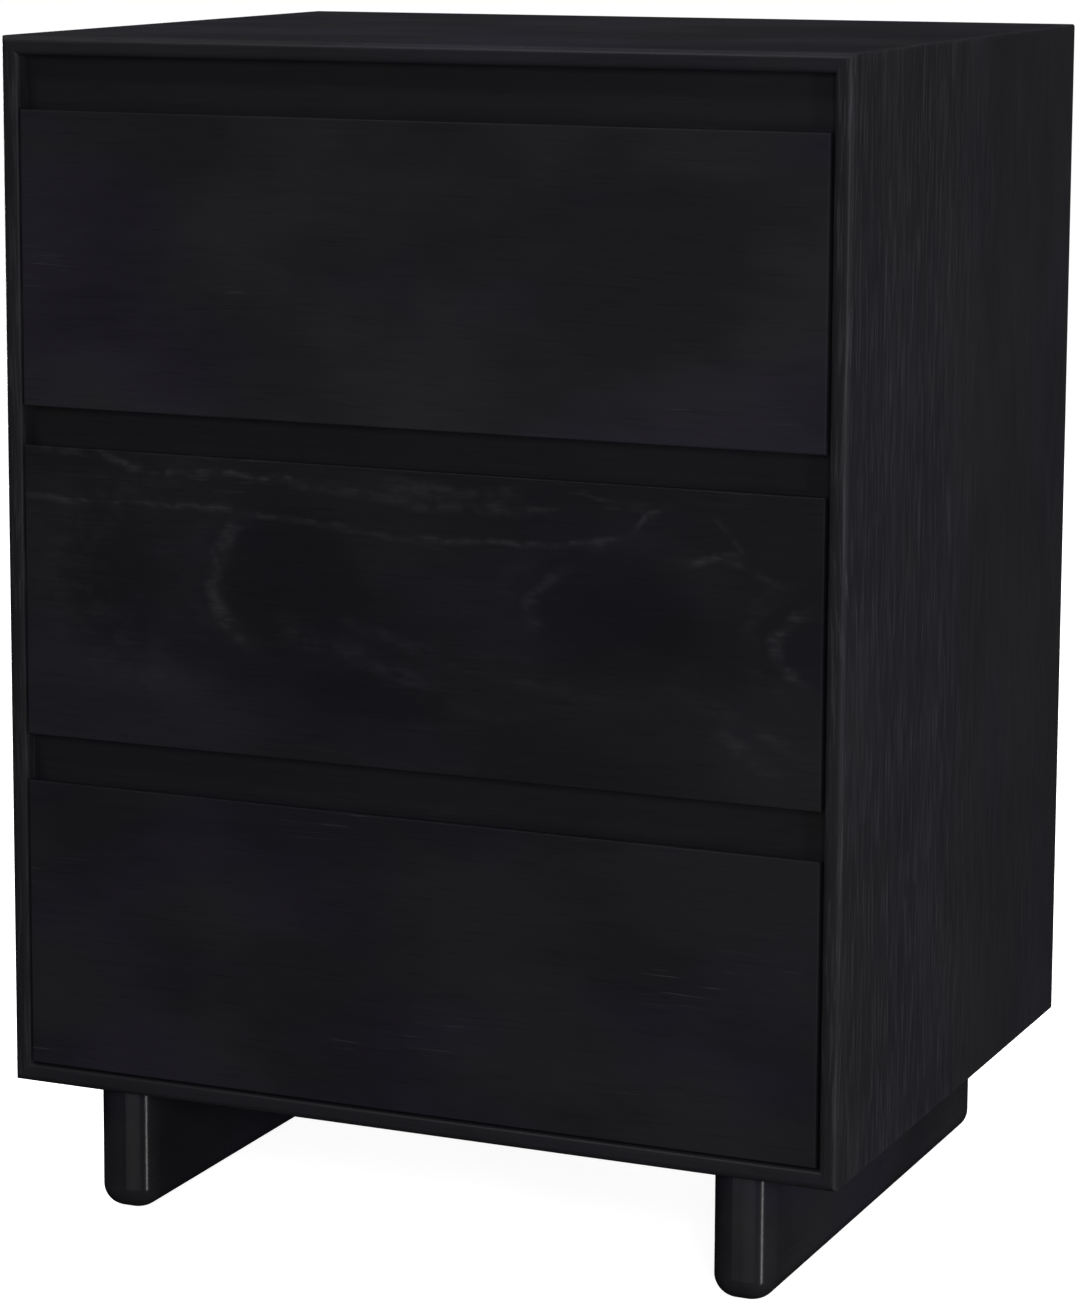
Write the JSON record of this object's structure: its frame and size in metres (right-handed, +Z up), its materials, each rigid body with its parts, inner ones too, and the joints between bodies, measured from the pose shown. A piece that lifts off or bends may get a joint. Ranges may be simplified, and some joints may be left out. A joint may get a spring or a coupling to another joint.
{
  "type": "nightstand",
  "caption": "Black-stained wooden nightstand: mitred case with flush drawers that open by finger gaps, on two runner feet.",
  "frame": {"origin": "on the floor, under the middle of the case", "axes": "+Z up, the drawers open towards -Y, +X to the right seen from the front"},
  "size_m": [0.508, 0.406, 0.686],
  "materials": {
    "case_wood": "satin black stain, open grain",
    "front_wood": "satin black stain, open grain",
    "rail_wood": "matt black stain",
    "runner_wood": "semi-gloss black stain",
    "back_panel": "matt black stain on plywood",
    "box_wood": "clear satin lacquer on pale hardwood",
    "bottom_ply": "clear satin lacquer on plywood",
    "dowel_wood": "bare hardwood",
    "slide_steel": "zinc plated",
    "ball_strip": "bright steel",
    "screw_steel": "zinc plated"
  },
  "bodies": {
    "case": {"case_top": "case_wood", "case_bottom": "case_wood", "case_left": "case_wood", "case_right": "case_wood", "corner_splines": "dowel_wood", "back_panel": "back_panel", "back_screws": "screw_steel", "top_rail": "rail_wood", "middle_rail": "rail_wood", "bottom_rail": "rail_wood", "rail_dowels": "dowel_wood", "left_runner": "runner_wood", "right_runner": "runner_wood", "runner_screws": "screw_steel", "case_slide_screws": "screw_steel", "top_slide_outer": "slide_steel", "middle_slide_outer": "slide_steel", "bottom_slide_outer": "slide_steel"},
    "top_drawer": {"top_front": "front_wood", "top_box_front": "box_wood", "top_box_left": "box_wood", "top_box_right": "box_wood", "top_box_back": "box_wood", "top_box_bottom": "bottom_ply", "top_front_screws": "screw_steel", "top_slide_inner": "slide_steel", "top_slide_screws": "screw_steel"},
    "top_slide": {"top_slide_middle": "slide_steel", "top_slide_balls": "ball_strip"},
    "middle_drawer": {"middle_front": "front_wood", "middle_box_front": "box_wood", "middle_box_left": "box_wood", "middle_box_right": "box_wood", "middle_box_back": "box_wood", "middle_box_bottom": "bottom_ply", "middle_front_screws": "screw_steel", "middle_slide_inner": "slide_steel", "middle_slide_screws": "screw_steel"},
    "middle_slide": {"middle_slide_middle": "slide_steel", "middle_slide_balls": "ball_strip"},
    "bottom_drawer": {"bottom_front": "front_wood", "bottom_box_front": "box_wood", "bottom_box_left": "box_wood", "bottom_box_right": "box_wood", "bottom_box_back": "box_wood", "bottom_box_bottom": "bottom_ply", "bottom_front_screws": "screw_steel", "bottom_slide_inner": "slide_steel", "bottom_slide_screws": "screw_steel"},
    "bottom_slide": {"bottom_slide_middle": "slide_steel", "bottom_slide_balls": "ball_strip"}
  },
  "joints": [
    {"name": "top_drawer_travel", "type": "slide", "parent": "case", "child": "top_drawer", "axis": [0, -1, 0], "range_m": [0, 0.35]},
    {"name": "top_slide_travel", "type": "slide", "parent": "case", "child": "top_slide", "axis": [0, -1, 0], "range_m": [0, 0.175]},
    {"name": "middle_drawer_travel", "type": "slide", "parent": "case", "child": "middle_drawer", "axis": [0, -1, 0], "range_m": [0, 0.35]},
    {"name": "middle_slide_travel", "type": "slide", "parent": "case", "child": "middle_slide", "axis": [0, -1, 0], "range_m": [0, 0.175]},
    {"name": "bottom_drawer_travel", "type": "slide", "parent": "case", "child": "bottom_drawer", "axis": [0, -1, 0], "range_m": [0, 0.35]},
    {"name": "bottom_slide_travel", "type": "slide", "parent": "case", "child": "bottom_slide", "axis": [0, -1, 0], "range_m": [0, 0.175]}
  ],
  "couplings": [
    {"joint": "top_slide_travel", "follows": "top_drawer_travel", "ratio": 0.5},
    {"joint": "middle_slide_travel", "follows": "middle_drawer_travel", "ratio": 0.5},
    {"joint": "bottom_slide_travel", "follows": "bottom_drawer_travel", "ratio": 0.5}
  ]
}
